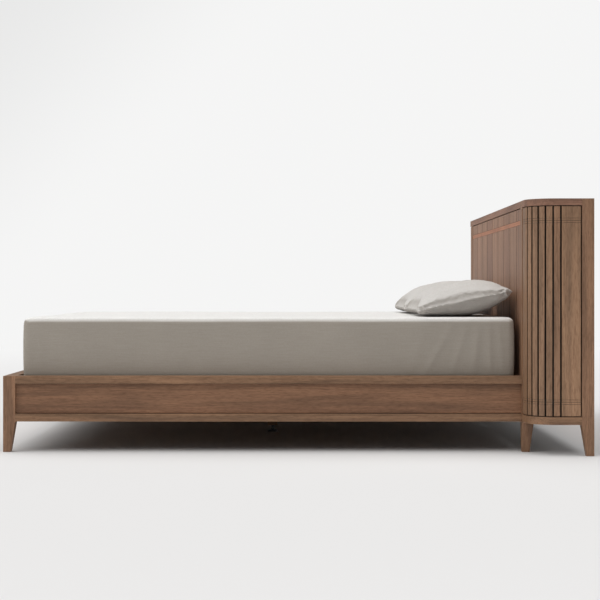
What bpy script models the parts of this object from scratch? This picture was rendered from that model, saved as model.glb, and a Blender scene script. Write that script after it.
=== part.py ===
"""A queen-size platform bed with a panelled box headboard whose rounded corners are slatted.

The bed stands on the floor at Z = 0 and is centred on X = 0 and Y = 0. The head is at +X and the
foot at -X. Seen from the foot, the left side is +Y and the right side is -Y. Units are metres.
"""

import math

import bmesh
import bpy
from mathutils import Matrix, Vector

# Fits
GAP = 0.0003  # between pieces that touch
SLOT_FIT = 0.0003  # each side of a panel in its groove
PAST = 0.010  # how far a cutter runs past what it cuts

# Mattress and the room round it
MATTRESS_LENGTH = 2.000
MATTRESS_WIDTH = 1.600
MATTRESS_THICKNESS = 0.260
MATTRESS_EDGE = 0.020  # rounding of its edges
ROOM_AT_FOOT = 0.0185
ROOM_AT_HEAD = 0.0205
ROOM_AT_SIDE = 0.010

# Bed frame
POST = 0.048  # side of each square post
FOOT_OF_POST = 0.030  # side of each leg where it meets the floor
LEG_HEIGHT = 0.122  # floor to the underside of the frame
RAIL_HEIGHT = 0.183  # underside of the frame to its top
BAR_HEIGHT = 0.031  # height of the top and bottom bars of a rail
PANEL_THICKNESS = 0.018
PANEL_RECESS = 0.014  # bars' outer face to the panel's outer face
PANEL_TONGUE = 0.006  # how far the panel enters each bar
PANEL_REVEAL = 0.002  # shadow line between the panel's face and each bar
PANEL_REVEAL_DEPTH = 0.006

# Slatted base
SLAT_COUNT = 10
SLAT_WIDTH = 0.120
SLAT_THICKNESS = 0.020
SLAT_END_ROOM = 0.004
DECK_DEPTH = 0.025  # top of the frame down to the top of the slats
LEDGER_HEIGHT = 0.040
LEDGER_REACH = 0.027  # how far the ledger stands inside the bars
BEAM_WIDTH = 0.045
CLEAT_LENGTH = 0.300
CLEAT_DEPTH = 0.038
BRACKET_LEG = 0.060
BRACKET_THICKNESS = 0.004
BRACKET_MARGIN = 0.004  # bar's edge to the bracket's edge

# Levelling foot under the centre leg
STEM_RADIUS = 0.005
STEM_LENGTH = 0.056
STEM_FIT = 0.0003  # stem to its hole, all round
STEM_ROOM = 0.0167  # top of the stem to the end of its hole
HEX_ACROSS_CORNERS = 0.020
HEX_HEIGHT = 0.007
LEG_CLEARANCE = 0.030  # floor to the bottom of the centre leg
PAD_RADIUS = 0.021
PAD_HEIGHT = 0.009
PAD_RIM = 0.0025
SOCKET_DEPTH = 0.004

# Headboard
HEAD_HEIGHT = 1.010
HEAD_DEPTH = 0.260
CORNER_OVERHANG = 0.040  # front post to the start of the rounded corner
CORNER_RADIUS = 0.110
BASE_BAR_HEIGHT = 0.0305
BASE_BAR_DEPTH = 0.030
TOP_BAR_HEIGHT = 0.027
TOP_BAR_DEPTH = 0.040
TOP_PANEL_THICKNESS = 0.018
TOP_PANEL_DROP = 0.004
BACK_PANEL_THICKNESS = 0.012
BACK_PANEL_RECESS = 0.002

# Corner tambours: wooden strips on a backing
STRIP_WIDTH = 0.02375
STRIP_GAP = 0.007
STRIP_THICKNESS = 0.018
STRIP_RECESS = 0.002  # frame's face to the strips' face
BACKING_THICKNESS = 0.008
SHADOW_GAP = 0.0035  # above and below the strips
FIRST_STRIP_START = 0.004  # along the corner from the front post
FIRST_STRIP_WIDTH = 0.071
CORNER_STRIP_COUNT = 5
END_BOARD_GAP = 0.005  # end board to the rear post
ARC_STEP = 0.013  # longest chord on a corner

# Front boards, glued to one backing with an open joint between each two
BOARD_PITCH = 0.1875
FIRST_BOARD_WIDTH = 0.1915  # from the left front post to the first joint
LAST_BOARD_LEAST = 0.050  # a narrower last board is left joined to its neighbour
JOINT_WIDTH = 0.006
JOINT_DEPTH = 0.009

# Bands let in across the strips and boards
BAND_HEIGHT = 0.017
BAND_FIT = 0.0010  # above and below a band
BAND_GROOVE_WIDTH = 0.0014
BAND_GROOVE_DEPTH = 0.0014
FRONT_BAND_THICKNESS = 0.0034
CORNER_BAND_THICKNESS = 0.0120
CORNER_BAND_STEP = 0.0090  # band's face on a strip to its face in a gap
UPPER_BAND_BELOW_TOP = 0.0860
LOWER_BAND_ABOVE_BASE = 0.0585

# Pillows
PILLOW_LENGTH = 0.740  # across the bed
PILLOW_WIDTH = 0.415  # along its own tilt
PILLOW_RISE = 0.088  # seam to the top of the filling
PILLOW_SAG = 0.078  # seam to the underside, where the mattress doesn't hold it up
PILLOW_TILT = math.radians(14)
PILLOW_GAP = 0.020  # between the two pillows
PILLOW_ROOM_AT_HEAD = 0.014
PILLOW_SEAM_LIFT = 0.010  # mattress to the seam at the pillow's front edge
PILLOW_CAGE = (6, 9)
PILLOW_CREASE = 0.85

# Places that follow from those sizes
INSIDE_HALF = MATTRESS_WIDTH / 2 + ROOM_AT_SIDE
FRAME_HALF = INSIDE_HALF + POST
FRAME_LENGTH = POST + ROOM_AT_FOOT + MATTRESS_LENGTH + ROOM_AT_HEAD
FOOT_X = -(FRAME_LENGTH + HEAD_DEPTH) / 2
FOOT_INSIDE_X = FOOT_X + POST
HEAD_X = FOOT_X + FRAME_LENGTH
BACK_X = HEAD_X + HEAD_DEPTH
HEAD_HALF = FRAME_HALF + CORNER_OVERHANG + CORNER_RADIUS
FRAME_TOP = LEG_HEIGHT + RAIL_HEIGHT
DECK_TOP = FRAME_TOP - DECK_DEPTH
LEDGER_TOP = DECK_TOP - SLAT_THICKNESS - GAP
BASE_TOP = LEG_HEIGHT + BASE_BAR_HEIGHT
STRIP_BOTTOM = BASE_TOP + SHADOW_GAP
STRIP_TOP = HEAD_HEIGHT - TOP_BAR_HEIGHT - SHADOW_GAP
BACKING_BOTTOM = BASE_TOP
BACKING_TOP = HEAD_HEIGHT - TOP_BAR_HEIGHT - GAP
UPPER_BAND_Z = HEAD_HEIGHT - UPPER_BAND_BELOW_TOP
LOWER_BAND_Z = BASE_TOP + LOWER_BAND_ABOVE_BASE
ARC_LENGTH = CORNER_RADIUS * math.pi / 2
ARC_END = CORNER_OVERHANG + ARC_LENGTH  # along the headboard's face from the front post
SIDE_RUN = ARC_END + HEAD_DEPTH - CORNER_RADIUS - POST  # front post to rear post
BAND_INSET = STRIP_RECESS + GAP  # headboard's face to each layer behind it
FRONT_NOTCH_INSET = BAND_INSET + FRONT_BAND_THICKNESS + GAP
CORNER_BAND_BACK = BAND_INSET + CORNER_BAND_THICKNESS
BACKING_INSET = STRIP_RECESS + STRIP_THICKNESS
TAMBOUR_INSET = BACKING_INSET + BACKING_THICKNESS
NOTCH_HEIGHT = BAND_HEIGHT + 2 * BAND_FIT
MATTRESS_X = FOOT_INSIDE_X + ROOM_AT_FOOT + MATTRESS_LENGTH / 2
MATTRESS_TOP = DECK_TOP + GAP + MATTRESS_THICKNESS
CENTRE_LEG_X = (FOOT_INSIDE_X + HEAD_X) / 2
STEM_BOTTOM = PAD_HEIGHT - SOCKET_DEPTH + GAP
SIDES = {"left": 1, "right": -1}


def start_scene():
    """Clears the scene and makes the two collections."""
    for obj in list(bpy.data.objects):
        bpy.data.objects.remove(obj)
    bed = bpy.data.collections.new("bed")
    cutters = bpy.data.collections.new("cutters")
    for collection in (bed, cutters):
        bpy.context.scene.collection.children.link(collection)
    return bed, cutters


BED, CUTTERS = start_scene()


def make_material(name, colour, roughness, metallic=0.0):
    material = bpy.data.materials.new(name)
    material.use_nodes = True
    shader = material.node_tree.nodes["Principled BSDF"]
    shader.inputs["Base Color"].default_value = (*colour, 1.0)
    shader.inputs["Roughness"].default_value = roughness
    shader.inputs["Metallic"].default_value = metallic
    return material


WALNUT = make_material("walnut", (0.185, 0.105, 0.062), 0.55)
BIRCH = make_material("stained_birch", (0.17, 0.105, 0.065), 0.65)
COPPER = make_material("copper", (0.72, 0.30, 0.17), 0.35, 1.0)
STEEL = make_material("steel", (0.42, 0.42, 0.43), 0.40, 1.0)
NYLON = make_material("nylon", (0.03, 0.03, 0.03), 0.50)
TICKING = make_material("mattress_cover", (0.30, 0.27, 0.235), 0.90)
LINEN = make_material("pillow_linen", (0.56, 0.54, 0.50), 0.90)


def place(name, data, material, matrix=None, collection=BED):
    """A new object of this mesh or curve in its collection."""
    obj = bpy.data.objects.new(name, data)
    obj.matrix_world = matrix or Matrix.Identity(4)
    data.materials.append(material)
    collection.objects.link(obj)
    return obj


def box(name, low, high, material):
    """A rectangular piece between two corners, with its origin at its centre."""
    low, high = Vector(low), Vector(high)
    mesh = bpy.data.meshes.new(name)
    work = bmesh.new()
    bmesh.ops.create_cube(work, size=1.0)
    bmesh.ops.scale(work, vec=high - low, verts=work.verts)
    work.to_mesh(mesh)
    work.free()
    return place(name, mesh, material, Matrix.Translation((low + high) / 2))


# A flat outline is drawn in its own X and Y, and these turn it to run along an axis of the bed.
UP_Z = Matrix.Identity(4)
ALONG_X = Matrix(((0, 0, 1, 0), (1, 0, 0, 0), (0, 1, 0, 0), (0, 0, 0, 1)))  # outline in Y and Z
ALONG_Y = Matrix(((1, 0, 0, 0), (0, 0, -1, 0), (0, 1, 0, 0), (0, 0, 0, 1)))  # outline in X and Z


def outline_solid(name, points, start, end, material, turn=UP_Z):
    """A closed flat outline, extruded from start to end along the axis that turn gives."""
    curve = bpy.data.curves.new(name, "CURVE")
    curve.dimensions = "2D"
    curve.fill_mode = "BOTH"
    curve.extrude = (end - start) / 2
    spline = curve.splines.new("POLY")
    spline.points.add(len(points) - 1)
    for point, (across, up) in zip(spline.points, points):
        point.co = (across, up, 0, 1)
    spline.use_cyclic_u = True
    middle = -(start + end) / 2 if turn is ALONG_Y else (start + end) / 2
    return place(name, curve, material, turn @ Matrix.Translation((0, 0, middle)))


def raised_face(name, points, start, end, material, collection=BED):
    """A plan outline filled as one flat face and raised from start to end, ready to be cut."""
    mesh = bpy.data.meshes.new(name)
    work = bmesh.new()
    face = work.faces.new([work.verts.new((x, y, 0)) for x, y in points])
    moved = bmesh.ops.extrude_face_region(work, geom=[face])["geom"]
    lifted = [item for item in moved if isinstance(item, bmesh.types.BMVert)]
    bmesh.ops.translate(work, vec=(0, 0, end - start), verts=lifted)
    work.normal_update()
    bmesh.ops.recalc_face_normals(work, faces=work.faces)
    work.to_mesh(mesh)
    work.free()
    return place(name, mesh, material, Matrix.Translation((0, 0, start)), collection)


def cylinder(name, radius, bottom, top, centre, material, sides=24, collection=BED):
    """An upright round or, with six sides, hexagonal piece."""
    mesh = bpy.data.meshes.new(name)
    work = bmesh.new()
    bmesh.ops.create_cone(
        work, cap_ends=True, segments=sides, radius1=radius, radius2=radius, depth=top - bottom
    )
    work.to_mesh(mesh)
    work.free()
    middle = Vector((*centre, (bottom + top) / 2))
    return place(name, mesh, material, Matrix.Translation(middle), collection)


def combine(obj, other, operation):
    """Cuts other from obj, or joins it on, with a Boolean, and hides other as a helper."""
    modifier = obj.modifiers.new(operation.lower() + "_" + other.name, "BOOLEAN")
    modifier.object = other
    modifier.operation = operation
    modifier.solver = "EXACT"
    other.hide_render = True
    other.display_type = "WIRE"


# ---------------------------------------------------------------- posts and legs


def tapered_post(name, corner, inward, top, shoulder, material=WALNUT):
    """A square post from top down to the floor, whose two inner faces taper below the shoulder.

    corner is the outer corner's X and Y, and inward the X and Y signs that point into the bed.
    """
    corner = Vector((*corner, 0))
    inward = Vector((*inward, 0))
    mesh = bpy.data.meshes.new(name)
    work = bmesh.new()
    bmesh.ops.create_cube(work, size=1.0)
    bmesh.ops.translate(work, vec=(0.5, 0.5, 0.5), verts=work.verts)
    bottom = min(work.faces, key=lambda face: face.calc_center_median().z)
    moved = bmesh.ops.extrude_face_region(work, geom=[bottom])["geom"]
    bmesh.ops.delete(work, geom=[bottom], context="FACES_ONLY")
    foot = {item for item in moved if isinstance(item, bmesh.types.BMVert)}
    for vert in work.verts:
        side = FOOT_OF_POST if vert in foot else POST
        height = 0.0 if vert in foot else top if vert.co.z > 0.5 else shoulder
        vert.co = Vector((vert.co.x * inward.x * side, vert.co.y * inward.y * side, height))
    work.normal_update()
    bmesh.ops.recalc_face_normals(work, faces=work.faces)
    work.to_mesh(mesh)
    work.free()
    return place(name, mesh, material, Matrix.Translation(corner))


# ---------------------------------------------------------------- rails


def bar_outline(outer, inward, bottom, top, groove_at_top):
    """Section of a bar whose panel groove is in its top or its bottom face.

    outer is the place of its outer face, and inward the sign of the way into the bed.
    """
    groove_start = outer + inward * (PANEL_RECESS + PANEL_REVEAL_DEPTH - SLOT_FIT)
    groove_end = outer + inward * (PANEL_RECESS + PANEL_THICKNESS + SLOT_FIT)
    inner = outer + inward * POST
    edge, far, down = (top, bottom, -1) if groove_at_top else (bottom, top, 1)
    floor = edge + down * (PANEL_TONGUE + SLOT_FIT)
    return [
        (outer, far),
        (outer, edge),
        (groove_start, edge),
        (groove_start, floor),
        (groove_end, floor),
        (groove_end, edge),
        (inner, edge),
        (inner, far),
    ]


def framed_rail(prefix, suffix, outer, inward, start, end, turn):
    """A top bar, a bottom bar and the panel in their grooves, running from start to end."""
    low_edge = LEG_HEIGHT + BAR_HEIGHT
    high_edge = FRAME_TOP - BAR_HEIGHT
    lower = bar_outline(outer, inward, LEG_HEIGHT, low_edge, True)
    upper = bar_outline(outer, inward, high_edge, FRAME_TOP, False)
    outline_solid(f"{prefix}_bottom_rail{suffix}", lower, start, end, WALNUT, turn)
    outline_solid(f"{prefix}_top_rail{suffix}", upper, start, end, WALNUT, turn)
    near = outer + inward * PANEL_RECESS
    step = near + inward * PANEL_REVEAL_DEPTH
    far = near + inward * PANEL_THICKNESS
    low, high = low_edge - PANEL_TONGUE, high_edge + PANEL_TONGUE
    face_low, face_high = low_edge + PANEL_REVEAL, high_edge - PANEL_REVEAL
    panel = [
        (near, face_low),
        (step, face_low),
        (step, low),
        (far, low),
        (far, high),
        (step, high),
        (step, face_high),
        (near, face_high),
    ]
    outline_solid(f"{prefix}_panel{suffix}", panel, start, end, WALNUT, turn)


def bed_frame():
    for side, sign in SIDES.items():
        tapered_post(
            f"foot_post_{side}", (FOOT_X, sign * FRAME_HALF), (1, -sign), FRAME_TOP, LEG_HEIGHT
        )
        framed_rail(
            "side", f"_{side}", sign * FRAME_HALF, -sign, FOOT_INSIDE_X + GAP, HEAD_X - GAP, ALONG_X
        )
    framed_rail("foot", "", FOOT_X, 1, -INSIDE_HALF + GAP, INSIDE_HALF - GAP, ALONG_Y)


# ---------------------------------------------------------------- slatted base


def slats():
    """Cross slats, evenly spaced between the foot rail and the headboard."""
    pitch = (HEAD_X - FOOT_INSIDE_X) / SLAT_COUNT
    half = INSIDE_HALF - SLAT_END_ROOM
    for number in range(SLAT_COUNT):
        centre = FOOT_INSIDE_X + pitch * (number + 0.5)
        low = (centre - SLAT_WIDTH / 2, -half, DECK_TOP - SLAT_THICKNESS)
        high = (centre + SLAT_WIDTH / 2, half, DECK_TOP)
        box(f"slat_{number + 1:02d}", low, high, BIRCH)


def ledgers():
    """The strips along the side rails that carry the slats' ends."""
    outer = FRAME_HALF - PANEL_RECESS - PANEL_THICKNESS - GAP
    inner = INSIDE_HALF - LEDGER_REACH
    for side, sign in SIDES.items():
        across = sorted((sign * outer, sign * inner))
        low = (FOOT_INSIDE_X + GAP, across[0], LEDGER_TOP - LEDGER_HEIGHT)
        high = (HEAD_X - GAP, across[1], LEDGER_TOP)
        box(f"slat_ledger_{side}", low, high, BIRCH)


def centre_support():
    """The lengthwise beam, the cleat at its head end and the leg under its middle."""
    beam_bottom = LEG_HEIGHT + BAR_HEIGHT + GAP
    beam_start = FOOT_X + PANEL_RECESS + PANEL_THICKNESS + GAP
    half = BEAM_WIDTH / 2
    box("centre_beam", (beam_start, -half, beam_bottom), (HEAD_X - GAP, half, LEDGER_TOP), BIRCH)
    box(
        "beam_cleat",
        (HEAD_X - GAP - CLEAT_DEPTH, -CLEAT_LENGTH / 2, LEG_HEIGHT),
        (HEAD_X - GAP, CLEAT_LENGTH / 2, beam_bottom - GAP),
        BIRCH,
    )
    leg = box(
        "centre_leg",
        (CENTRE_LEG_X - half, -half, LEG_CLEARANCE),
        (CENTRE_LEG_X + half, half, beam_bottom - GAP),
        BIRCH,
    )
    hole_end = STEM_BOTTOM + STEM_LENGTH + STEM_ROOM
    hole = cylinder(
        "centre_leg_hole",
        STEM_RADIUS + STEM_FIT,
        LEG_CLEARANCE - PAST,
        hole_end,
        (CENTRE_LEG_X, 0),
        STEEL,
        collection=CUTTERS,
    )
    combine(leg, hole, "DIFFERENCE")


def levelling_foot():
    """The threaded stem with its hexagon, and the pad that it turns in."""
    centre = (CENTRE_LEG_X, 0)
    stem = cylinder(
        "leveller_stem", STEM_RADIUS, STEM_BOTTOM, STEM_BOTTOM + STEM_LENGTH, centre, STEEL
    )
    hex_bottom = PAD_HEIGHT + GAP
    hexagon = cylinder(
        "leveller_hexagon",
        HEX_ACROSS_CORNERS / 2,
        hex_bottom,
        hex_bottom + HEX_HEIGHT,
        centre,
        STEEL,
        sides=6,
        collection=CUTTERS,
    )
    combine(stem, hexagon, "UNION")
    turned_pad(centre)


def turned_pad(centre):
    """A round pad with a bevelled rim and a socket for the stem, turned about its own axis."""
    socket = STEM_RADIUS + GAP
    profile = [
        (0, PAD_HEIGHT - SOCKET_DEPTH),
        (socket, PAD_HEIGHT - SOCKET_DEPTH),
        (socket, PAD_HEIGHT),
        (PAD_RADIUS - PAD_RIM, PAD_HEIGHT),
        (PAD_RADIUS, PAD_HEIGHT - PAD_RIM),
        (PAD_RADIUS, 0),
        (0, 0),
    ]
    mesh = bpy.data.meshes.new("leveller_pad")
    ring = [Vector((radius, 0, height)) for radius, height in profile]
    mesh.from_pydata(ring, [(i, i + 1) for i in range(len(ring) - 1)], [])
    pad = place("leveller_pad", mesh, NYLON, Matrix.Translation((*centre, 0)))
    turn = pad.modifiers.new("turn", "SCREW")
    turn.steps = turn.render_steps = 32
    turn.use_merge_vertices = True
    turn.merge_threshold = 0.00005


def corner_brackets():
    """Angle plates in the four inner corners that hold the side rails to the foot and the head."""
    bottom = LEG_HEIGHT + BRACKET_MARGIN
    top = LEG_HEIGHT + BASE_BAR_HEIGHT - BRACKET_MARGIN
    ends = {"foot": (FOOT_INSIDE_X + GAP, 1), "head": (HEAD_X - GAP, -1)}
    for end, (x, along) in ends.items():
        for side, sign in SIDES.items():
            y = sign * (INSIDE_HALF - GAP)
            thick_x, thick_y = along * BRACKET_THICKNESS, -sign * BRACKET_THICKNESS
            long_x, long_y = along * BRACKET_LEG, -sign * BRACKET_LEG
            outline = [
                (x, y),
                (x + long_x, y),
                (x + long_x, y + thick_y),
                (x + thick_x, y + thick_y),
                (x + thick_x, y + long_y),
                (x, y + long_y),
            ]
            outline_solid(f"corner_bracket_{end}_{side}", outline, bottom, top, STEEL)


# ---------------------------------------------------------------- headboard


def corner_point(run, inset, sign):
    """A point on the headboard's side in plan.

    run is the length along the outer face from the front post, round the corner and back, and
    inset is how far inside that face the point lies.
    """
    before = min(run, CORNER_OVERHANG)
    turned = min(max(run - CORNER_OVERHANG, 0), ARC_LENGTH) / CORNER_RADIUS
    after = max(run - ARC_END, 0)
    reach = CORNER_RADIUS - inset
    x = HEAD_X + CORNER_RADIUS - reach * math.cos(turned) + after
    y = FRAME_HALF + before + reach * math.sin(turned)
    return x, sign * y


def stretch_runs(start, end):
    """Lengths from start to end, close together on the arc and only at the ends of the flats."""
    bend_start, bend_end = max(start, CORNER_OVERHANG), min(end, ARC_END)
    runs = [start]
    if bend_start < bend_end:
        steps = math.ceil((bend_end - bend_start) / ARC_STEP)
        runs += [bend_start + (bend_end - bend_start) * step / steps for step in range(steps + 1)]
    runs.append(end)
    return [run for run, following in zip(runs, runs[1:] + [math.inf]) if following - run > 1e-6]


def stretch(start, end, inset, sign):
    return [corner_point(run, inset, sign) for run in stretch_runs(start, end)]


def corner_band_outline(start, end, outer, inner, sign):
    """A strip that follows the corner between two insets."""
    return stretch(start, end, outer, sign) + stretch(start, end, inner, sign)[::-1]


def corner_strips():
    """(start, end) of each strip along the side: a wide one, the narrow ones, and the end board."""
    strips = [(FIRST_STRIP_START, FIRST_STRIP_START + FIRST_STRIP_WIDTH)]
    for _ in range(CORNER_STRIP_COUNT):
        start = strips[-1][1] + STRIP_GAP
        strips.append((start, start + STRIP_WIDTH))
    strips.append((strips[-1][1] + STRIP_GAP, SIDE_RUN - END_BOARD_GAP))
    return strips


def comb_outline(face, floor, back, sign):
    """Plan of a corner with the strips' faces, the gaps' floors and the back at three insets."""
    start, end = GAP, SIDE_RUN - GAP
    outer = [corner_point(start, floor, sign)]
    for strip_start, strip_end in corner_strips():
        outer.append(corner_point(strip_start, floor, sign))
        outer += stretch(strip_start, strip_end, face, sign)
        outer.append(corner_point(strip_end, floor, sign))
    outer.append(corner_point(end, floor, sign))
    return outer + stretch(start, end, back, sign)[::-1]


def level_cutter(name, outline, middle, height):
    """A cutter of this outline whose middle is at the level middle."""
    low, high = middle - height / 2, middle + height / 2
    return raised_face(name, outline, low, high, WALNUT, CUTTERS)


def shorten_strips(solid, name, outline):
    """Cuts the strips back from both ends of their backing, which leaves the shadow gaps."""
    for end, start, finish in (
        ("bottom", BACKING_BOTTOM - PAST, STRIP_BOTTOM),
        ("top", STRIP_TOP, BACKING_TOP + PAST),
    ):
        cutter = level_cutter(f"{name}_{end}", outline, (start + finish) / 2, finish - start)
        combine(solid, cutter, "DIFFERENCE")


def corner_tambour(side, sign):
    """The strips and the backing of one rounded corner, notched for the two bands."""
    outline = comb_outline(STRIP_RECESS, BACKING_INSET, TAMBOUR_INSET, sign)
    name = f"corner_tambour_{side}"
    solid = raised_face(name, outline, BACKING_BOTTOM, BACKING_TOP, WALNUT)
    front = corner_band_outline(-PAST, SIDE_RUN + PAST, -PAST, BACKING_INSET, sign)
    shorten_strips(solid, f"corner_gap_{side}", front)
    notch = corner_band_outline(-PAST, SIDE_RUN + PAST, -PAST, CORNER_BAND_BACK + GAP, sign)
    for level, middle in (("upper", UPPER_BAND_Z), ("lower", LOWER_BAND_Z)):
        cutter = level_cutter(f"{level}_notch_{side}", notch, middle, NOTCH_HEIGHT)
        combine(solid, cutter, "DIFFERENCE")
        corner_band(level, middle, side, sign)


def corner_band(level, middle, side, sign):
    """A band let into one corner's strips and stepped back in their gaps, with a middle groove."""
    low, high = middle - BAND_HEIGHT / 2, middle + BAND_HEIGHT / 2
    outline = comb_outline(BAND_INSET, BAND_INSET + CORNER_BAND_STEP, CORNER_BAND_BACK, sign)
    band = raised_face(f"corner_band_{level}_{side}", outline, low, high, WALNUT)
    floor = BAND_INSET + BAND_GROOVE_DEPTH
    groove = corner_band_outline(-PAST, SIDE_RUN + PAST, -PAST, floor, sign)
    cutter = level_cutter(f"{level}_groove_{side}", groove, middle, BAND_GROOVE_WIDTH)
    combine(band, cutter, "DIFFERENCE")


def board_joints():
    """The middles of the open joints between the front boards, from the left to the right."""
    joints = [INSIDE_HALF - FIRST_BOARD_WIDTH]
    while joints[-1] - BOARD_PITCH + INSIDE_HALF > LAST_BOARD_LEAST:
        joints.append(joints[-1] - BOARD_PITCH)
    return joints


def front_outline(depth_x, half):
    """A rectangle in plan that takes all of the front boards' face back to depth_x."""
    near, reach = HEAD_X - PAST, half + PAST
    return [(near, -reach), (depth_x, -reach), (depth_x, reach), (near, reach)]


def front_boards():
    """The boards between the front posts, on one backing and notched for the copper band."""
    half = INSIDE_HALF - GAP
    face, floor = HEAD_X + STRIP_RECESS, HEAD_X + STRIP_RECESS + JOINT_DEPTH
    outline = [(face, -half)]
    for joint in board_joints()[::-1]:
        start, end = joint - JOINT_WIDTH / 2, joint + JOINT_WIDTH / 2
        outline += [(face, start), (floor, start), (floor, end), (face, end)]
    outline += [(face, half), (HEAD_X + TAMBOUR_INSET, half), (HEAD_X + TAMBOUR_INSET, -half)]
    solid = raised_face("front_boards", outline, BACKING_BOTTOM, BACKING_TOP, WALNUT)
    shorten_strips(solid, "front_gap", front_outline(HEAD_X + BACKING_INSET, half))
    notch = front_outline(HEAD_X + FRONT_NOTCH_INSET, half)
    cutter = level_cutter("front_notch", notch, UPPER_BAND_Z, NOTCH_HEIGHT)
    combine(solid, cutter, "DIFFERENCE")
    front_band(half)


def front_band(half):
    """The copper band across the front boards, with a groove along its middle."""
    middle, edge, groove = UPPER_BAND_Z, BAND_HEIGHT / 2, BAND_GROOVE_WIDTH / 2
    face = HEAD_X + BAND_INSET
    floor, back = face + BAND_GROOVE_DEPTH, face + FRONT_BAND_THICKNESS
    section = [
        (face, middle - edge),
        (face, middle - groove),
        (floor, middle - groove),
        (floor, middle + groove),
        (face, middle + groove),
        (face, middle + edge),
        (back, middle + edge),
        (back, middle - edge),
    ]
    outline_solid("front_band", section, -half, half, COPPER, ALONG_Y)


def head_base():
    """The low frame that the headboard stands on: four legs and the bars between them."""
    for side, sign in SIDES.items():
        tapered_post(
            f"head_front_leg_{side}",
            (HEAD_X, sign * FRAME_HALF),
            (1, -sign),
            BASE_TOP - GAP,
            LEG_HEIGHT,
        )
        tapered_post(
            f"head_rear_leg_{side}",
            (BACK_X, sign * HEAD_HALF),
            (-1, -sign),
            BASE_TOP - GAP,
            LEG_HEIGHT,
        )
        apron = corner_band_outline(GAP, SIDE_RUN - GAP, 0, BASE_BAR_DEPTH, sign)
        outline_solid(f"head_base_corner_{side}", apron, LEG_HEIGHT, BASE_TOP - GAP, WALNUT)
    front, back = INSIDE_HALF - GAP, HEAD_HALF - POST - GAP
    box(
        "head_base_front",
        (HEAD_X, -front, LEG_HEIGHT),
        (HEAD_X + BASE_BAR_DEPTH, front, BASE_TOP - GAP),
        WALNUT,
    )
    box(
        "head_base_back",
        (BACK_X - BASE_BAR_DEPTH, -back, LEG_HEIGHT),
        (BACK_X, back, BASE_TOP - GAP),
        WALNUT,
    )


def head_posts():
    for side, sign in SIDES.items():
        front = sorted((sign * FRAME_HALF, sign * (FRAME_HALF - POST)))
        rear = sorted((sign * HEAD_HALF, sign * (HEAD_HALF - POST)))
        box(
            f"head_front_post_{side}",
            (HEAD_X, front[0], BASE_TOP),
            (HEAD_X + POST, front[1], HEAD_HEIGHT),
            WALNUT,
        )
        box(
            f"head_rear_post_{side}",
            (BACK_X - POST, rear[0], BASE_TOP),
            (BACK_X, rear[1], HEAD_HEIGHT),
            WALNUT,
        )


def head_top():
    """The top bars, the panel inside them and the back panel."""
    bar_bottom = HEAD_HEIGHT - TOP_BAR_HEIGHT
    half = INSIDE_HALF - GAP
    box(
        "head_top_front",
        (HEAD_X, -half, bar_bottom),
        (HEAD_X + TOP_BAR_DEPTH, half, HEAD_HEIGHT),
        WALNUT,
    )
    for side, sign in SIDES.items():
        bar = corner_band_outline(GAP, SIDE_RUN - GAP, 0, TOP_BAR_DEPTH, sign)
        outline_solid(f"head_top_corner_{side}", bar, bar_bottom, HEAD_HEIGHT, WALNUT)
    panel_top = HEAD_HEIGHT - TOP_PANEL_DROP
    outline_solid(
        "head_top_panel",
        top_panel_outline(),
        panel_top - TOP_PANEL_THICKNESS,
        panel_top,
        WALNUT,
    )
    back_half = HEAD_HALF - POST - GAP
    back_face = BACK_X - BACK_PANEL_RECESS
    box(
        "head_back_panel",
        (back_face - BACK_PANEL_THICKNESS, -back_half, BASE_TOP),
        (back_face, back_half, HEAD_HEIGHT),
        WALNUT,
    )


def top_panel_outline():
    """The panel between the top bars, stepping round the four posts."""
    post_back = HEAD_X + POST + GAP
    bar_back = HEAD_X + TOP_BAR_DEPTH + GAP
    front_side = INSIDE_HALF - GAP
    rear_front = BACK_X - POST - GAP
    rear_side = HEAD_HALF - POST - GAP
    back = BACK_X - BACK_PANEL_RECESS - BACK_PANEL_THICKNESS - GAP
    half = [(bar_back, front_side), (post_back, front_side), (post_back, FRAME_HALF + GAP)]
    half += stretch(GAP, SIDE_RUN - GAP, TOP_BAR_DEPTH + GAP, 1)
    half += [(rear_front, rear_side), (back, rear_side)]
    return half + [(x, -y) for x, y in half[::-1]]


# ---------------------------------------------------------------- mattress and pillows


def mattress():
    half_length, half_width = MATTRESS_LENGTH / 2, MATTRESS_WIDTH / 2
    solid = box(
        "mattress",
        (MATTRESS_X - half_length, -half_width, DECK_TOP + GAP),
        (MATTRESS_X + half_length, half_width, MATTRESS_TOP),
        TICKING,
    )
    rounding = solid.modifiers.new("rounding", "BEVEL")
    rounding.width = MATTRESS_EDGE
    rounding.segments = 3


def pillow_point(along, across, side):
    """A point of a pillow's cage, with along and across from -1 to 1 and side 1 on top, -1 below.

    Its seam lies in a tilted plane, and the filling swells from it and rests on the mattress.
    """
    fullness = ((1 - abs(along) ** 2.4) * (1 - abs(across) ** 5)) ** 0.5
    fullness *= 1 - 0.3 * max(along, 0) ** 1.5
    reach = PILLOW_WIDTH / 2 * along * (1 - 0.04 * (1 - across**2))
    x = reach * math.cos(PILLOW_TILT)
    y = PILLOW_LENGTH / 2 * across * (1 - 0.03 * (1 - along**2))
    seam = PILLOW_SEAM_LIFT + (reach + PILLOW_WIDTH / 2) * math.sin(PILLOW_TILT)
    if side > 0:
        return Vector((x, y, seam + PILLOW_RISE * fullness))
    return Vector((x, y, max(seam - PILLOW_SAG * fullness, 0.0)))


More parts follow.
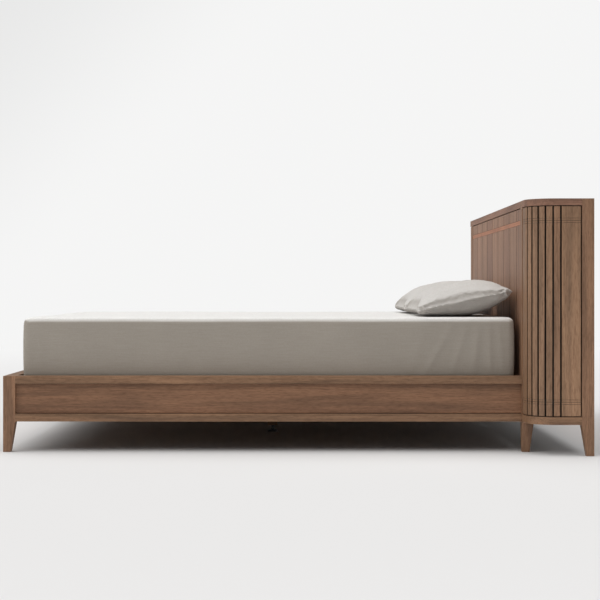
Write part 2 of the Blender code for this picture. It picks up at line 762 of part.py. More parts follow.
def pillow(side, sign):
    """Two swollen grids welded along the seam, which keeps a soft crease when smoothed."""
    mesh = bpy.data.meshes.new(f"pillow_{side}")
    work = bmesh.new()
    rows, columns = PILLOW_CAGE
    for face_side in (1, -1):
        grid = bmesh.ops.create_grid(work, x_segments=rows, y_segments=columns, size=1.0)["verts"]
        if face_side < 0:
            faces = {face for vert in grid for face in vert.link_faces}
            bmesh.ops.reverse_faces(work, faces=list(faces))
        for vert in grid:
            vert.co = pillow_point(vert.co.x, vert.co.y, face_side)
    crease = work.edges.layers.float.new("crease_edge")
    for edge in work.edges:
        if edge.is_boundary:
            edge[crease] = PILLOW_CREASE
    bmesh.ops.remove_doubles(work, verts=work.verts, dist=1e-6)
    work.to_mesh(mesh)
    work.free()
    reach = PILLOW_WIDTH / 2 * math.cos(PILLOW_TILT)
    centre = Vector(
        (HEAD_X - PILLOW_ROOM_AT_HEAD - reach, sign * (PILLOW_LENGTH + PILLOW_GAP) / 2, MATTRESS_TOP + GAP)
    )
    solid = place(mesh.name, mesh, LINEN, Matrix.Translation(centre))
    smooth = solid.modifiers.new("smooth", "SUBSURF")
    smooth.levels = smooth.render_levels = 1


def main():
    bed_frame()
    slats()
    ledgers()
    centre_support()
    levelling_foot()
    corner_brackets()
    head_base()
    head_posts()
    head_top()
    front_boards()
    mattress()
    for side, sign in SIDES.items():
        corner_tambour(side, sign)
        pillow(side, sign)


main()
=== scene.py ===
import math

import bmesh
import bpy
import numpy as np
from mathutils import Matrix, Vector, noise
from mathutils.bvhtree import BVHTree

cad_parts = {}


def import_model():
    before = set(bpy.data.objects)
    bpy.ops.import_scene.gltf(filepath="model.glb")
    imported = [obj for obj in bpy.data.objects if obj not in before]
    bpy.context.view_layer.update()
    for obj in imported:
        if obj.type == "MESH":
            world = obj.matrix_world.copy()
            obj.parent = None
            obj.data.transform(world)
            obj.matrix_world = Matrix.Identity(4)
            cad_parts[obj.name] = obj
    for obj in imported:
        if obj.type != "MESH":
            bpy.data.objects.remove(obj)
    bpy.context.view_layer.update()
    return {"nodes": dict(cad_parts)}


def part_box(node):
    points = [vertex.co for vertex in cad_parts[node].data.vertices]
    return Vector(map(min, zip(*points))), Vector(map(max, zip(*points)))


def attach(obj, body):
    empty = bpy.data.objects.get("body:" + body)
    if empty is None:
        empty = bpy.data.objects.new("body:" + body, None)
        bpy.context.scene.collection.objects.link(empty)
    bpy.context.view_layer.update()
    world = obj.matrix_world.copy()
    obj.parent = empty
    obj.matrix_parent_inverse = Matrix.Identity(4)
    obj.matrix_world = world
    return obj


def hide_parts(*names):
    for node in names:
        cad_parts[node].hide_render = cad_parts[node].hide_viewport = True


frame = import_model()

NODES = frame["nodes"]
scene = bpy.context.scene
scene.view_settings.view_transform = "Standard"

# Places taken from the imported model
FRONT_POST_LOW, FRONT_POST_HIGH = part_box("head_front_post_left")
REAR_POST_LOW, REAR_POST_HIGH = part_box("head_rear_post_left")
HEAD_X = FRONT_POST_LOW.x
FRAME_HALF = FRONT_POST_HIGH.y
INSIDE_HALF = FRONT_POST_LOW.y
HEAD_HALF = REAR_POST_HIGH.y
PANEL_FACE = FRAME_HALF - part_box("side_panel_left")[1].y

# Sizes of the strips and boards, as in the CAD
CORNER_OVERHANG = 0.040
CORNER_RADIUS = HEAD_HALF - FRAME_HALF - CORNER_OVERHANG
FIRST_GAP = 0.0785  # along the corner from the front post to the middle of the first gap
STRIP_PITCH = 0.03075
STRIP_COUNT = 5
BOARD_PITCH = 0.1875
FIRST_BOARD = 0.1915
FIRST_JOINT = INSIDE_HALF - FIRST_BOARD


# ---------------------------------------------------------------- camera, stage and light


CAMERA_PLACE = (0.0205, -6.668, 0.6506)
CAMERA_LENS = 86.7
CAMERA_SENSOR = 36.0
CAMERA_SHIFT = -0.0165
CAMERA_REACH = 200.0

SEEN = (0.915, 0.915, 0.912)  # the background's colour
GIVEN = (0.10, 0.10, 0.101)  # the soft light that comes from all round
MIRRORED = (0.34, 0.34, 0.34)  # what glossy surfaces mirror
DARKER_WAY = (-0.72, 0.0, 0.69)  # the background is a little darker this way
DARKER_FADE = {"From Min": 0.14, "From Max": 0.30, "To Min": 1.0, "To Max": 0.88}

FLOOR_COLOUR = (0.745, 0.748, 0.760)
FLOOR_SIZE = 90.0
FLOOR_DROP = 0.0006  # keeps the floor from flickering against the feet
FLOOR_FADE = {"From Min": 2.2, "From Max": 10.0}  # distance from the bed's middle


def camera():
    """The photograph's view: level, square to the bed's side."""
    data = bpy.data.cameras.new("camera")
    data.lens = CAMERA_LENS
    data.sensor_width = CAMERA_SENSOR
    data.shift_y = CAMERA_SHIFT
    data.clip_end = CAMERA_REACH
    obj = bpy.data.objects.new("camera", data)
    obj.location = CAMERA_PLACE
    obj.rotation_euler = (math.radians(90), 0, 0)
    scene.collection.objects.link(obj)
    scene.camera = obj


def sun(name, direction, strength, angle, colour):
    """A soft distant light that shines along direction."""
    data = bpy.data.lights.new(name, "SUN")
    data.energy = strength
    data.angle = math.radians(angle)
    data.color = colour
    obj = bpy.data.objects.new(name, data)
    obj.rotation_euler = Vector(direction).to_track_quat("-Z", "Y").to_euler()
    scene.collection.objects.link(obj)


def tree_node(tree, kind, values=(), **settings):
    """A new node with its settings and its unlinked sockets' values."""
    node = tree.nodes.new("ShaderNode" + kind)
    for key, value in settings.items():
        setattr(node, key, value)
    for key, value in dict(values).items():
        node.inputs[key].default_value = value
    return node


def world():
    """A studio that is bright to look at, a little darker up on one side, and gives soft light."""
    surroundings = bpy.data.worlds.new("studio")
    surroundings.use_nodes = True
    tree = surroundings.node_tree
    tree.nodes.clear()
    path = tree_node(tree, "LightPath")
    way = tree_node(tree, "TexCoord")
    tilt = tree_node(tree, "VectorMath", {1: DARKER_WAY}, operation="DOT_PRODUCT")
    fade = tree_node(tree, "MapRange", DARKER_FADE, interpolation_type="SMOOTHSTEP")
    seen = tree_node(tree, "Background", {"Color": (*SEEN, 1)})
    given = tree_node(tree, "Background", {"Color": (*GIVEN, 1)})
    mirrored = tree_node(tree, "Background", {"Color": (*MIRRORED, 1)})
    unseen = tree_node(tree, "MixShader")
    mix = tree_node(tree, "MixShader")
    out = tree_node(tree, "OutputWorld")
    tree.links.new(way.outputs["Generated"], tilt.inputs[0])
    tree.links.new(tilt.outputs["Value"], fade.inputs["Value"])
    tree.links.new(fade.outputs["Result"], seen.inputs["Strength"])
    tree.links.new(path.outputs["Is Glossy Ray"], unseen.inputs["Fac"])
    tree.links.new(given.outputs[0], unseen.inputs[1])
    tree.links.new(mirrored.outputs[0], unseen.inputs[2])
    tree.links.new(path.outputs["Is Camera Ray"], mix.inputs["Fac"])
    tree.links.new(unseen.outputs[0], mix.inputs[1])
    tree.links.new(seen.outputs[0], mix.inputs[2])
    tree.links.new(mix.outputs[0], out.inputs["Surface"])
    scene.world = surroundings


def stage():
    """A pale floor that fades into the studio's background with distance."""
    mesh = bpy.data.meshes.new("stage_floor")
    work = bmesh.new()
    bmesh.ops.create_grid(work, x_segments=1, y_segments=1, size=FLOOR_SIZE)
    work.to_mesh(mesh)
    work.free()
    floor = bpy.data.objects.new("stage_floor", mesh)
    floor.location.z = -FLOOR_DROP
    scene.collection.objects.link(floor)
    material = bpy.data.materials.new("floor")
    material.use_nodes = True
    tree = material.node_tree
    tree.nodes.clear()
    place = tree_node(tree, "TexCoord")
    length = tree_node(tree, "VectorMath", operation="LENGTH")
    fade = tree_node(tree, "MapRange", FLOOR_FADE, interpolation_type="SMOOTHSTEP")
    near = tree_node(tree, "BsdfDiffuse", {"Color": (*FLOOR_COLOUR, 1)})
    far = tree_node(tree, "Emission", {"Color": (*SEEN, 1)})
    mix = tree_node(tree, "MixShader")
    out = tree_node(tree, "OutputMaterial")
    tree.links.new(place.outputs["Object"], length.inputs[0])
    tree.links.new(length.outputs["Value"], fade.inputs["Value"])
    tree.links.new(fade.outputs["Result"], mix.inputs["Fac"])
    tree.links.new(near.outputs[0], mix.inputs[1])
    tree.links.new(far.outputs[0], mix.inputs[2])
    tree.links.new(mix.outputs[0], out.inputs["Surface"])
    mesh.materials.append(material)


# ---------------------------------------------------------------- materials


class Nodes:
    """Short calls for building a material's node tree."""

    def __init__(self, name, roughness, metallic=0.0):
        self.material = bpy.data.materials.new(name)
        self.material.use_nodes = True
        self.tree = self.material.node_tree
        self.shader = self.tree.nodes["Principled BSDF"]
        self.shader.inputs["Roughness"].default_value = roughness
        self.shader.inputs["Metallic"].default_value = metallic

    def add(self, kind, values=(), **settings):
        """A new node with its settings, and its sockets set or linked."""
        node = self.tree.nodes.new("ShaderNode" + kind)
        for key, value in settings.items():
            setattr(node, key, value)
        for key, value in dict(values).items():
            self.put(value, node.inputs[key])
        return node

    def put(self, value, socket):
        if isinstance(value, bpy.types.NodeSocket):
            self.tree.links.new(value, socket)
        else:
            socket.default_value = value

    def math(self, operation, first, second=0.0):
        node = self.add("Math", operation=operation)
        self.put(first, node.inputs[0])
        self.put(second, node.inputs[1])
        return node.outputs[0]

    def mix(self, factor, first, second, blend="MIX"):
        """Two colours mixed; the Mix node's colour sockets are found by number."""
        node = self.add("Mix", data_type="RGBA", blend_type=blend)
        self.put(factor, node.inputs["Factor"])
        self.put(first, node.inputs[6])
        self.put(second, node.inputs[7])
        return node.outputs[2]

    def scaled(self, vector, scale, offset=None):
        """A place stretched along the axes and moved, so that a pattern runs one way."""
        node = self.add("Mapping", {"Vector": vector, "Scale": scale})
        if offset is not None:
            self.put(offset, node.inputs["Location"])
        return node.outputs[0]

    def noise(self, vector, scale, detail=3.0, distortion=0.0):
        values = {"Vector": vector, "Scale": scale, "Detail": detail, "Distortion": distortion}
        return self.add("TexNoise", values).outputs[0]

    def ramp(self, value, stops):
        """A colour for each value, between the stops given as (position, colour)."""
        node = self.add("ValToRGB", {"Fac": value})
        while len(node.color_ramp.elements) < len(stops):
            node.color_ramp.elements.new(0.5)
        for element, (position, colour) in zip(node.color_ramp.elements, stops):
            element.position = position
            element.color = (*colour, 1)
        return node.outputs[0]

    def bump(self, height, strength, distance, normal=None):
        node = self.add("Bump", {"Height": height, "Strength": strength, "Distance": distance})
        if normal is not None:
            self.put(normal, node.inputs["Normal"])
        return node.outputs[0]


def shade(colour, factor):
    """A colour made lighter or darker."""
    return tuple(min(1.0, part * factor) for part in colour)


def strip_number(n, place, kind):
    """A whole number for each board or strip, from where the point is."""
    parts = n.add("SeparateXYZ", {"Vector": place})
    x, y = parts.outputs[0], parts.outputs[1]
    if kind == "front":
        return n.math("FLOOR", n.math("DIVIDE", n.math("SUBTRACT", y, FIRST_JOINT), BOARD_PITCH))
    across = n.math("ABSOLUTE", y)
    turned = n.math(
        "ARCTAN2",
        n.math("SUBTRACT", across, FRAME_HALF + CORNER_OVERHANG),
        n.math("SUBTRACT", HEAD_X + CORNER_RADIUS, x),
    )
    turned = n.math("MINIMUM", n.math("MAXIMUM", turned, 0.0), math.pi / 2)
    before = n.math("MINIMUM", n.math("SUBTRACT", across, FRAME_HALF), CORNER_OVERHANG)
    after = n.math("MAXIMUM", n.math("SUBTRACT", x, HEAD_X + CORNER_RADIUS), 0.0)
    run = n.math("ADD", n.math("MULTIPLY", turned, CORNER_RADIUS), n.math("ADD", before, after))
    number = n.math("FLOOR", n.math("DIVIDE", n.math("SUBTRACT", run, FIRST_GAP), STRIP_PITCH))
    return n.math("MAXIMUM", n.math("MINIMUM", number, float(STRIP_COUNT)), -1.0)


def gap_shade(n, place, deepest, begin, end):
    """1 on the headboard's face, falling to deepest in the gaps: painted shade where little light
    comes.
    """
    parts = n.add("SeparateXYZ", {"Vector": place})
    ahead = n.math("MAXIMUM", n.math("SUBTRACT", HEAD_X + CORNER_RADIUS, parts.outputs[0]), 0.0)
    across = n.math("ABSOLUTE", parts.outputs[1])
    beside = n.math("MAXIMUM", n.math("SUBTRACT", across, FRAME_HALF + CORNER_OVERHANG), 0.0)
    squares = n.math("ADD", n.math("MULTIPLY", ahead, ahead), n.math("MULTIPLY", beside, beside))
    inset = n.math("SUBTRACT", CORNER_RADIUS, n.math("SQRT", squares))
    values = {"Value": inset, "From Min": begin, "From Max": end, "To Min": 1.0, "To Max": deepest}
    return n.add("MapRange", values, interpolation_type="SMOOTHSTEP").outputs[0]


# Painted shade on the strips round the bend, against the light that falls on them from the foot,
# and the slight painted shade on those beyond it, with the strips' numbers between
BEND_PAINTED_SHADE = (0.76, 0.76, 0.77)
BEND_SHADE_BEYOND = (0.96, 0.96, 0.95)
BEND_SHADE_SPAN = {"From Min": 1.5, "From Max": 3.6, "To Min": 0.0, "To Max": 1.0}

# How far behind the frame's face the painted shade in the gaps starts and is full. The boards
# and strips are themselves 2 mm behind it
GAP_DEPTHS = {"front": (0.00208, 0.0023), "corner": (0.0024, 0.0037)}
GAP_DEEPEST = 0.03  # how dark the painted shade at the bottom of a gap is, against the face
REVEAL_DARK = 0.12  # the same for the painted shadow line round a panel

WALNUT_ROUGHNESS = 0.48
WALNUT_GLOSS = 0.42
WHITE = (1, 1, 1)


def along(axis, stretch):
    """Scales for a pattern that runs along one axis."""
    return tuple(stretch if name == axis else 1 for name in "XYZ")


def strip_tones(n, body, place, strips, number, tone):
    """Gives each board or strip its own tone, paints shade on the strips round the bend, and paints
    shade into the gaps between them.
    """
    tints = [(0.0, (0.86, 0.82, 0.82)), (0.5, (0.95, 0.95, 0.93)), (1.0, (1.0, 0.99, 0.98))]
    body = n.mix(1.0, body, n.ramp(tone, tints), "MULTIPLY")
    if strips == "corner":
        # painted shade: the strips round the bend are coloured darker than those beyond it
        turn = n.add("MapRange", {"Value": number, **BEND_SHADE_SPAN}).outputs[0]
        body = n.mix(1.0, body, n.ramp(turn, [(0.0, BEND_PAINTED_SHADE), (1.0, BEND_SHADE_BEYOND)]), "MULTIPLY")
    # painted shade in the gaps, darker the deeper a point lies behind the face
    depth = n.add("CombineColor")
    dark = gap_shade(n, place, GAP_DEEPEST, *GAP_DEPTHS[strips])
    for part in ("Red", "Green", "Blue"):
        n.put(dark, depth.inputs[part])
    return n.mix(1.0, body, depth.outputs[0], "MULTIPLY")


def walnut(name, colour, grain, seed, strips=None, reveal=0.0):
    """Oiled walnut whose grain runs along one axis: broad bands, fine fibres and open pores.

    strips is "front" or "corner" where the piece is cut into boards or strips. reveal is how far
    inside the rails' face a panel's painted shadow line starts.
    """
    n = Nodes(name, WALNUT_ROUGHNESS)
    place = n.add("TexCoord").outputs["Object"]
    offset = (seed * 1.7, seed * 2.9, seed * 4.3)
    if strips:
        number = strip_number(n, place, strips)
        random = n.add("TexWhiteNoise", {"W": n.math("ADD", number, seed)}, noise_dimensions="1D")
        tone = random.outputs["Value"]
        shift = n.add("CombineXYZ", {"X": number, "Y": number, "Z": n.math("MULTIPLY", tone, 9.0)})
        offset = shift.outputs[0]
    fibres = n.scaled(place, along(grain, 0.022), offset)
    broad = n.noise(n.scaled(place, along(grain, 0.055), offset), 26.0, 5.0, 0.7)
    flecks = n.noise(n.scaled(place, along(grain, 0.16), offset), 230.0, 4.0, 0.5)
    fine = n.noise(fibres, 420.0, 4.0, 0.2)
    pores = n.noise(fibres, 900.0, 2.0, 0.0)
    bands = [(0.28, 0.62), (0.45, 0.90), (0.58, 1.10), (0.75, 1.36)]
    body = n.ramp(broad, [(position, shade(colour, factor)) for position, factor in bands])
    for strength, pattern, stops in (
        (0.75, flecks, [(0.35, (0.70, 0.66, 0.62)), (0.55, WHITE), (0.75, (1.0, 0.99, 0.97))]),
        (0.65, fine, [(0.32, (0.60, 0.55, 0.51)), (0.52, WHITE)]),
        (0.5, pores, [(0.30, (0.45, 0.40, 0.36)), (0.40, WHITE)]),
    ):
        body = n.mix(strength, body, n.ramp(pattern, stops), "MULTIPLY")
    if strips:
        body = strip_tones(n, body, place, strips, number, tone)
    # painted shadow: the panel's faces deeper than its front face are coloured dark as the shadow
    # line round it
    if reveal:
        parts = n.add("SeparateXYZ", {"Vector": place})
        inside = n.math("SUBTRACT", FRAME_HALF, n.math("ABSOLUTE", parts.outputs[1]))
        hidden = n.math("GREATER_THAN", inside, reveal)
        body = n.mix(hidden, body, (*shade(colour, REVEAL_DARK), 1))
    n.put(body, n.shader.inputs["Base Color"])
    roughness = {"To Min": WALNUT_ROUGHNESS - 0.07, "To Max": WALNUT_ROUGHNESS + 0.1}
    sheen = n.add("MapRange", {"Value": fine, **roughness})
    n.put(sheen.outputs[0], n.shader.inputs["Roughness"])
    n.shader.inputs["Specular IOR Level"].default_value = WALNUT_GLOSS
    height = n.math("ADD", n.math("MULTIPLY", fine, 0.6), n.math("MULTIPLY", pores, 0.4))
    n.put(n.bump(height, 0.35, 0.0006), n.shader.inputs["Normal"])
    return n.material


def birch(name, colour, grain):
    """Stained birch for the hidden pieces, with a quiet, even grain."""
    n = Nodes(name, 0.62)
    place = n.add("TexCoord").outputs["Object"]
    fibres = n.scaled(place, along(grain, 0.06))
    broad = n.noise(fibres, 30.0, 4.0, 0.8)
    fine = n.noise(fibres, 320.0, 3.0)
    body = n.ramp(broad, [(0.3, shade(colour, 0.82)), (0.55, colour), (0.8, shade(colour, 1.12))])
    lines = n.ramp(fine, [(0.3, (0.84, 0.80, 0.74)), (0.55, WHITE)])
    n.put(n.mix(0.7, body, lines, "MULTIPLY"), n.shader.inputs["Base Color"])
    n.put(n.bump(fine, 0.25, 0.0005), n.shader.inputs["Normal"])
    return n.material


def copper(name):
    """Satin copper with brush marks along Y and a little tarnish."""
    n = Nodes(name, 0.46, 0.10)
    place = n.add("TexCoord").outputs["Object"]
    brushed = n.noise(n.scaled(place, (1, 0.01, 1)), 900.0, 2.0)
    cloudy = n.noise(place, 7.0, 3.0)
    colour = n.ramp(cloudy, [(0.35, (0.40, 0.150, 0.068)), (0.6, (0.49, 0.195, 0.092))])
    n.put(colour, n.shader.inputs["Base Color"])
    rough = n.add("MapRange", {"Value": brushed, "To Min": 0.32, "To Max": 0.50})
    n.put(rough.outputs[0], n.shader.inputs["Roughness"])
    n.put(n.bump(brushed, 0.2, 0.0003), n.shader.inputs["Normal"])
    return n.material


def steel(name, tone):
    """Plated steel with faint blotches."""
    n = Nodes(name, 0.35, 1.0)
    place = n.add("TexCoord").outputs["Object"]
    blotches = n.noise(place, 60.0, 4.0)
    dark, light = (tone * 0.75, tone * 0.75, tone * 0.74), (tone, tone, tone * 0.98)
    colour = n.ramp(blotches, [(0.35, dark), (0.65, light)])
    n.put(colour, n.shader.inputs["Base Color"])
    rough = n.add("MapRange", {"Value": blotches, "To Min": 0.26, "To Max": 0.48})
    n.put(rough.outputs[0], n.shader.inputs["Roughness"])
    return n.material


def nylon(name):
    """Black moulded nylon with a fine grain."""
    n = Nodes(name, 0.5)
    place = n.add("TexCoord").outputs["Object"]
    grain = n.noise(place, 1500.0, 2.0)
    n.shader.inputs["Base Color"].default_value = (0.022, 0.022, 0.023, 1)
    n.put(n.bump(grain, 0.2, 0.0003), n.shader.inputs["Normal"])
    return n.material


def linen(name, colour, thread, slubs, painted_top_light=None):
    """A plain weave: threads both ways with slubs, soft colour variation and a matte sheen.

    thread is the threads' pitch and the last argument the colour given to the faces that look up,
    as painted light from above.
    """
    n = Nodes(name, 0.88)
    place = n.add("TexCoord").outputs["Object"]
    bent = n.add("VectorMath", operation="ADD")
    wobble = n.add("TexNoise", {"Vector": place, "Scale": 35.0, "Detail": 2.0})
    small = n.add("VectorMath", {"Scale": thread * 0.8}, operation="SCALE")
    n.put(wobble.outputs["Color"], small.inputs[0])
    n.put(place, bent.inputs[0])
    n.put(small.outputs[0], bent.inputs[1])
    parts = n.add("SeparateXYZ", {"Vector": bent.outputs[0]})
    turn = 2 * math.pi / thread
    waves = [n.math("SINE", n.math("MULTIPLY", parts.outputs[i], turn)) for i in range(3)]
    crossed = [n.math("MULTIPLY", waves[i], waves[j]) for i, j in ((0, 1), (0, 2), (1, 2))]
    weave = n.math("ADD", n.math("ADD", crossed[0], crossed[1]), crossed[2])
    thick_x = n.noise(n.scaled(place, (0.05, 1, 1)), slubs, 3.0)
    thick_y = n.noise(n.scaled(place, (1, 0.05, 1)), slubs, 3.0)
    slub = n.math("MULTIPLY", n.math("ADD", thick_x, thick_y), 0.5)
    cloudy = n.noise(place, 3.0, 3.0)
    body = n.ramp(cloudy, [(0.3, shade(colour, 0.95)), (0.7, shade(colour, 1.03))])
    # painted light: faces that look up get the lighter colour, the sides keep the darker one
    if painted_top_light:
        faces = n.add("SeparateXYZ", {"Vector": n.add("NewGeometry").outputs["Normal"]})
        values = {"Value": faces.outputs[2], "From Min": 0.25, "From Max": 0.85}
        level = n.add("MapRange", values, interpolation_type="SMOOTHSTEP").outputs[0]
        body = n.mix(level, body, (*painted_top_light, 1))
    threads = n.ramp(slub, [(0.35, (0.86, 0.85, 0.83)), (0.6, WHITE)])
    body = n.mix(0.6, body, threads, "MULTIPLY")
    n.put(body, n.shader.inputs["Base Color"])
    n.shader.inputs["Sheen Weight"].default_value = 0.15
    n.shader.inputs["Sheen Roughness"].default_value = 0.5
    n.shader.inputs["Specular IOR Level"].default_value = 0.2
    first = n.bump(weave, 0.25, thread * 0.25)
    n.put(n.bump(slub, 0.4, 0.001, first), n.shader.inputs["Normal"])
    return n.material


# Colours of the wood
RAIL = (0.270, 0.153, 0.086)
PANEL = (0.289, 0.150, 0.083)
POST = (0.293, 0.162, 0.094)
STRIPS = (0.378, 0.223, 0.134)
BOARDS = (0.343, 0.193, 0.123)
TOP_BAR = (0.267, 0.141, 0.093)
BIRCH = (0.230, 0.122, 0.062)
REVEAL_START = 0.0012  # behind the panel's face


def piece_material():
    """One material for each kind of piece, with its grain along the piece."""
    return {
        "rail_x": walnut("walnut_rail_x", RAIL, "X", 1),
        "rail_y": walnut("walnut_rail_y", RAIL, "Y", 2),
        "top_x": walnut("walnut_top_x", TOP_BAR, "X", 9),
        "top_y": walnut("walnut_top_y", TOP_BAR, "Y", 10),
        "post": walnut("walnut_post", POST, "Z", 3),
        "panel_x": walnut("walnut_panel_x", PANEL, "X", 4, reveal=PANEL_FACE + REVEAL_START),
        "panel_y": walnut("walnut_panel_y", PANEL, "Y", 5),
        "panel_z": walnut("walnut_back", PANEL, "Z", 6),
        "front_strips": walnut("walnut_front_boards", BOARDS, "Z", 7, "front"),
        "corner_strips": walnut("walnut_corner_strips", STRIPS, "Z", 8, "corner"),
        "copper": copper("copper_band"),
        "slat": birch("birch_slat", BIRCH, "Y"),
        "beam": birch("birch_beam", BIRCH, "X"),
        "leg": birch("birch_leg", BIRCH, "Z"),
        "steel": steel("zinc_steel", 0.55),
        "dark_steel": steel("black_steel", 0.06),
        "nylon": nylon("black_nylon"),
    }


# How each piece's name starts, its material and the width of its eased edges; the first that fits
KINDS = [
    ("corner_tambour", "corner_strips", 0.0007),
    ("front_boards", "front_strips", 0.0),
    ("front_band", "copper", 0.0004),
    ("corner_band", "corner_strips", 0.0003),
    ("corner_bracket", "steel", 0.0005),
    ("leveller_stem", "dark_steel", 0.0004),
    ("leveller_pad", "nylon", 0.0),
    ("slat_ledger", "beam", 0.0015),
    ("slat_", "slat", 0.0025),
    ("centre_beam", "beam", 0.0015),
    ("beam_cleat", "slat", 0.0015),
    ("centre_leg", "leg", 0.0015),
    ("side_panel", "panel_x", 0.0),
    ("foot_panel", "panel_y", 0.0),
    ("head_top_panel", "panel_y", 0.0008),
    ("head_back_panel", "panel_z", 0.0008),
    ("side_", "rail_x", 0.0012),
    ("foot_post", "post", 0.0016),
    ("foot_", "rail_y", 0.0012),
    ("head_top_front", "top_y", 0.0016),
    ("head_base_front", "rail_y", 0.0012),
    ("head_base_back", "rail_y", 0.0012),
    ("head_top_corner", "top_x", 0.0016),
    ("head_base_corner", "rail_x", 0.0012),
    ("head_", "post", 0.0016),
]


EASED_ABOVE = 35  # degrees between two faces


def dress(obj, material, edge):
    """Gives a CAD piece its material and eased edges."""
    obj.data.materials.clear()
    obj.data.materials.append(material)
    if edge:
        ease = obj.modifiers.new("eased_edges", "BEVEL")
        ease.width = edge
        ease.segments = 2
        ease.limit_method = "ANGLE"
        ease.angle_limit = math.radians(EASED_ABOVE)
        ease.use_clamp_overlap = True


def dress_frame():
    """Dresses every CAD piece that isn't replaced by a soft one."""
    kinds = piece_material()
    for name, obj in NODES.items():
        if name == "mattress" or name.startswith("pillow"):
            continue
        for start, kind, edge in KINDS:
            if name.startswith(start):
                dress(obj, kinds[kind], edge)
                break


# ---------------------------------------------------------------- soft goods


PILLOW_START = 0.985  # the pillow's size before it is filled, against the CAD's
PILLOW_VOXEL = 0.006
PILLOW_PRESSURE = 4.0
PILLOW_SLACK = 0.035
PILLOW_CAP = 0.010
PILLOW_LIFT = 0.004  # height of the pillow's broad unevenness
PILLOW_CREASE = 0.0032  # and of its creases
PILLOW_REST = 0.0006  # from the mattress up to the pillow
PILLOW_CLEAR = 0.004  # from the headboard's face to the pillow
PIPING = 0.0022
SEAM_POINTS = 72

MATTRESS_VOXEL = 0.010
MATTRESS_BULGE = 0.0030
SIDE_DRAW = 0.0025  # keeps the bulging sides inside the CAD's box
END_DRAW = 0.0015
TOP_DRAW = 0.0012
FACE_BAND = 0.012  # points this near to the box's side belong to that side
TOP_SWELL = ((2.3, 0.0018), (8.0, 0.0006))  # scale and height of the top's unevenness


def copied(node, name, shrink):
    """A new object with a CAD node's mesh, drawn in a little about its middle."""
    mesh = NODES[node].data.copy()
    mesh.materials.clear()
    obj = bpy.data.objects.new(name, mesh)
    scene.collection.objects.link(obj)
    points = read_points(mesh)
    middle = (points.min(axis=0) + points.max(axis=0)) / 2
    write_points(mesh, middle + (points - middle) * shrink)
    return obj


def read_points(mesh):
    """A mesh's points as an array of rows."""
    points = np.empty(len(mesh.vertices) * 3)
    mesh.vertices.foreach_get("co", points)
    return points.reshape(-1, 3)


def write_points(mesh, points):
    mesh.vertices.foreach_set("co", np.asarray(points, float).ravel())
    mesh.update()


def settle(obj):
    """Applies an object's modifiers."""
    graph = bpy.context.evaluated_depsgraph_get()
    graph.update()
    mesh = bpy.data.meshes.new_from_object(obj.evaluated_get(graph))
    obj.modifiers.clear()
    obj.data = mesh


def remesh(obj, size):
    """Rebuilds a closed mesh from cubes of one size."""
    cells = obj.modifiers.new("cells", "REMESH")
    cells.mode = "VOXEL"
    cells.voxel_size = size
    cells.use_smooth_shade = True
    settle(obj)


def puff(obj, pressure, slack, cap):
    """Fills a closed cloth with air for twenty frames, letting no point move further than cap."""
    before = read_points(obj.data)
    cloth = obj.modifiers.new("cloth", "CLOTH")
    cloth.settings.quality = 5
    cloth.settings.mass = 0.25
    cloth.settings.tension_stiffness = 14
    cloth.settings.compression_stiffness = 14
    cloth.settings.bending_stiffness = 0.35
    cloth.settings.shrink_min = -slack
    cloth.settings.use_pressure = True
    cloth.settings.uniform_pressure_force = pressure
    cloth.settings.effector_weights.gravity = 0
    cloth.point_cache.frame_start = 1
    cloth.point_cache.frame_end = 20
    for frame_number in range(1, 21):
        scene.frame_set(frame_number)
    settle(obj)
    scene.frame_set(1)
    moved = read_points(obj.data) - before
    length = np.linalg.norm(moved, axis=1, keepdims=True)
    write_points(obj.data, before + moved * np.minimum(1.0, cap / np.maximum(length, 1e-9)))


def smoothed(obj):
    """Shades a mesh smooth and makes it one level finer."""
    finer = obj.modifiers.new("finer", "SUBSURF")
    finer.levels = finer.render_levels = 1
    for polygon in obj.data.polygons:
        polygon.use_smooth = True


def own(obj, node, material):
    """The piece gets its material, stands for its CAD node and rides on the bed."""
    obj.data.materials.clear()
    obj.data.materials.append(material)
    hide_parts(node)
    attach(obj, "bed")


def seam_ring(node):
    """The pillow's seam: the CAD edge at the widest place in each direction from its middle."""
    points = read_points(NODES[node].data)
    middle = (points.min(axis=0) + points.max(axis=0)) / 2
    half = (points.max(axis=0) - points.min(axis=0)) / 2
    angles = np.arctan2((points[:, 1] - middle[1]) / half[1], (points[:, 0] - middle[0]) / half[0])
    reach = np.maximum(
        np.abs(points[:, 0] - middle[0]) / half[0], np.abs(points[:, 1] - middle[1]) / half[1]
    )
    ring = []
    for start in np.linspace(-math.pi, math.pi, SEAM_POINTS + 1)[:-1]:
        inside = (angles >= start) & (angles < start + 2 * math.pi / SEAM_POINTS)
        if inside.any():
            ring.append(points[inside][np.argmax(reach[inside])])
    ring = np.array(ring)
    for _ in range(2):
        ring = (np.roll(ring, 1, axis=0) + 2 * ring + np.roll(ring, -1, axis=0)) / 4
    return ring


def piping(name, ring, surface, material):
    """A thin corded seam laid round a pillow on its surface."""
    graph = bpy.context.evaluated_depsgraph_get()
    tree = BVHTree.FromObject(surface, graph)
    points = [tree.find_nearest(Vector(point))[0] for point in ring]
    curve = bpy.data.curves.new(name, "CURVE")
    curve.dimensions = "3D"
    curve.bevel_depth = PIPING
    curve.bevel_resolution = 3
    curve.resolution_u = 6
    spline = curve.splines.new("NURBS")
    spline.points.add(len(points) - 1)
    for target, point in zip(spline.points, points):
        target.co = (*point, 1)
    spline.use_cyclic_u = True
    spline.order_u = 4
    cord = bpy.data.objects.new(name, curve)
    scene.collection.objects.link(cord)
    curve.materials.append(material)
    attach(cord, "bed")


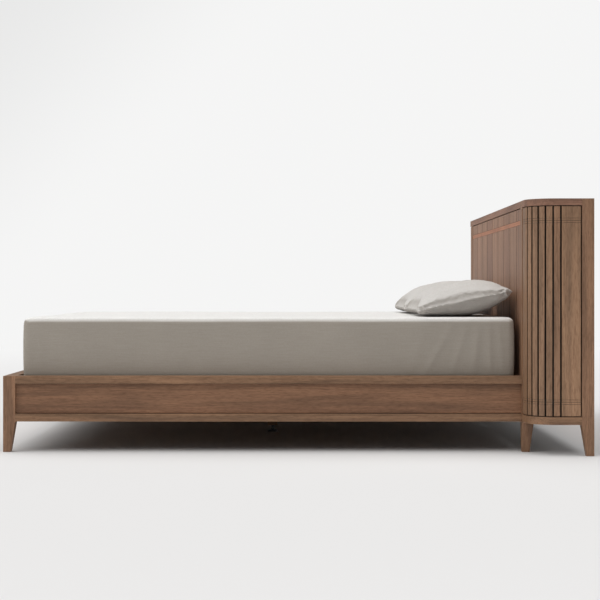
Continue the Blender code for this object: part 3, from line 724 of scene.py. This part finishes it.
def pillow(side, cloth, seed):
    """A pillow filled by simulation, with soft creases, resting on the mattress."""
    node = f"pillow_{side}"
    obj = copied(node, f"cushion_{side}", PILLOW_START)
    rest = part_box("mattress")[1].z + PILLOW_REST
    remesh(obj, PILLOW_VOXEL)
    puff(obj, PILLOW_PRESSURE, PILLOW_SLACK, PILLOW_CAP)
    points = read_points(obj.data)
    start, end = points.min(axis=0), points.max(axis=0)
    low, high = (np.array(corner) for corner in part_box(node))
    points = low + (points - start) * (high - low) / (end - start)
    for index, point in enumerate(points):
        place = Vector(point)
        lift = noise.noise(Vector((place.x * 9 + seed, place.y * 4.0, place.z * 6)))
        slanted = place.x * 30 - place.y * 9 + seed
        crease = noise.noise(Vector((slanted, place.y * 7, place.z * 14)))
        height = (point[2] - low[2]) / (high[2] - low[2])
        points[index, 2] += (PILLOW_LIFT * lift + PILLOW_CREASE * crease) * min(1.0, height * 2)
    points[:, 2] = np.maximum(points[:, 2], rest)
    points[:, 0] = np.minimum(points[:, 0], HEAD_X - PILLOW_CLEAR)
    write_points(obj.data, points)
    smoothed(obj)
    own(obj, node, cloth)
    piping(f"piping_{side}", seam_ring(node), obj, cloth)


# Folds of the fitted sheet on the mattress's sides: place along the bed, slant, width and depth
SHEET_FOLDS = [
    (0.500, 0.35, 0.020, 0.0022),
    (0.585, 0.55, 0.016, 0.0030),
    (0.668, 0.30, 0.013, 0.0026),
    (0.735, 0.12, 0.014, 0.0034),
    (0.790, -0.05, 0.010, 0.0030),
    (0.838, -0.10, 0.009, 0.0026),
    (-0.420, -0.25, 0.030, 0.0012),
    (-0.930, -0.20, 0.022, 0.0016),
    (-1.030, -0.05, 0.014, 0.0020),
]


def mattress(cover):
    """A mattress in a fitted sheet: softly bulging sides, folds by the corners, an uneven top."""
    low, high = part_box("mattress")
    obj = copied("mattress", "dressed_mattress", 1.0)
    remesh(obj, MATTRESS_VOXEL)
    even = obj.modifiers.new("even", "SMOOTH")
    even.iterations = 3
    settle(obj)
    points = read_points(obj.data)
    height = np.clip((points[:, 2] - low.z) / (high.z - low.z), 0, 1)
    bulge = MATTRESS_BULGE * (1 - (2 * height - 1) ** 2)
    side = np.abs(points[:, 1]) > high.y - FACE_BAND
    fold = np.zeros(len(points))
    for start, slant, width, depth in SHEET_FOLDS:
        away = (points[:, 0] - start - slant * (height - 0.5) * 0.26) / width
        fold += depth * np.exp(-(away**2)) * np.sin(math.pi * np.clip(height * 1.1, 0, 1)) ** 0.7
    points[:, 1] += np.sign(points[:, 1]) * np.where(side, bulge + fold - SIDE_DRAW, 0)
    ends = np.abs(points[:, 0] - (low.x + high.x) / 2) > (high.x - low.x) / 2 - FACE_BAND
    points[:, 0] += np.sign(points[:, 0] + 0.1) * np.where(ends, bulge - END_DRAW, 0)
    top = height > 0.93
    for index in np.nonzero(top)[0]:
        place = Vector(points[index])
        swell = sum(noise.noise(place * scale) * rise for scale, rise in TOP_SWELL)
        points[index, 2] += swell - TOP_DRAW
    write_points(obj.data, points)
    smoothed(obj)
    own(obj, "mattress", cover)


def soft_goods():
    """The dressed mattress and the two pillows."""
    # painted light: on the mattress and the pillows the faces that look up are coloured lighter
    # than the sides
    mattress(linen("mattress_cover", (0.380, 0.345, 0.302), 0.0022, 240.0, (0.88, 0.88, 0.875)))
    cloth = linen("pillow_linen", (0.45, 0.425, 0.398), 0.0016, 200.0, (0.62, 0.605, 0.59))
    pillow("left", cloth, 3.0)
    pillow("right", cloth, 11.0)


camera()
world()
sun("key_above", (0.32, 0.12, -1), 2.9, 95, (1.0, 0.985, 0.96))
sun("fill_head", (-1.0, 0.12, -0.42), 0.80, 60, (1.0, 0.98, 0.95))
sun("fill_foot", (1.0, 0.25, -0.35), 0.35, 60, (1.0, 0.98, 0.95))
stage()
dress_frame()
soft_goods()
